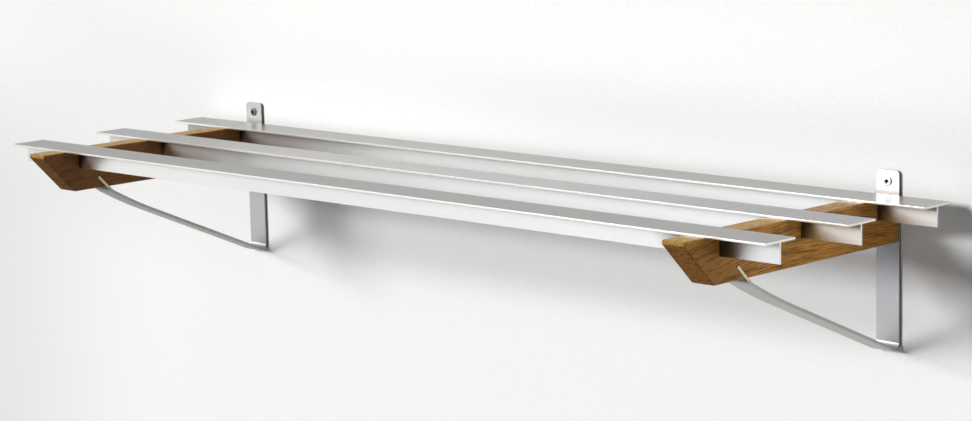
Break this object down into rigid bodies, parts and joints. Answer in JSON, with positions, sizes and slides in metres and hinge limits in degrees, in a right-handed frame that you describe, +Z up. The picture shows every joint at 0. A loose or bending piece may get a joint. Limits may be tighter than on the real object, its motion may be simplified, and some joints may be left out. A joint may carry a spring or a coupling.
{
  "type": "wall-mounted shoe rack",
  "caption": "Wall-mounted shoe rack: T-section aluminium rails let into oak arms, each arm held by a flat bar bent into a wall strap and a diagonal strut.",
  "frame": {"origin": "on the wall plane, midway between the two wall screws, at their height", "axes": "+X along the rails to the right as seen from the room, +Y into the wall, +Z up"},
  "size_m": [1, 0.337, 0.1629],
  "materials": {
    "rail_aluminium": "satin, finely brushed along its length",
    "oiled_oak": "oiled oak, straight grain along the arm",
    "bracket_aluminium": "satin flat bar",
    "screw_steel": "bright stainless steel, pan head with a cross recess",
    "zinc_steel": "zinc-plated steel, countersunk head with a cross recess"
  },
  "bodies": {
    "root": {"front_rail": "rail_aluminium", "middle_rail": "rail_aluminium", "back_rail": "rail_aluminium", "left_oak_arm": "oiled_oak", "right_oak_arm": "oiled_oak", "left_wall_bracket": "bracket_aluminium", "right_wall_bracket": "bracket_aluminium", "wall_screws": "screw_steel", "arm_screws": "zinc_steel"}
  },
  "joints": []
}
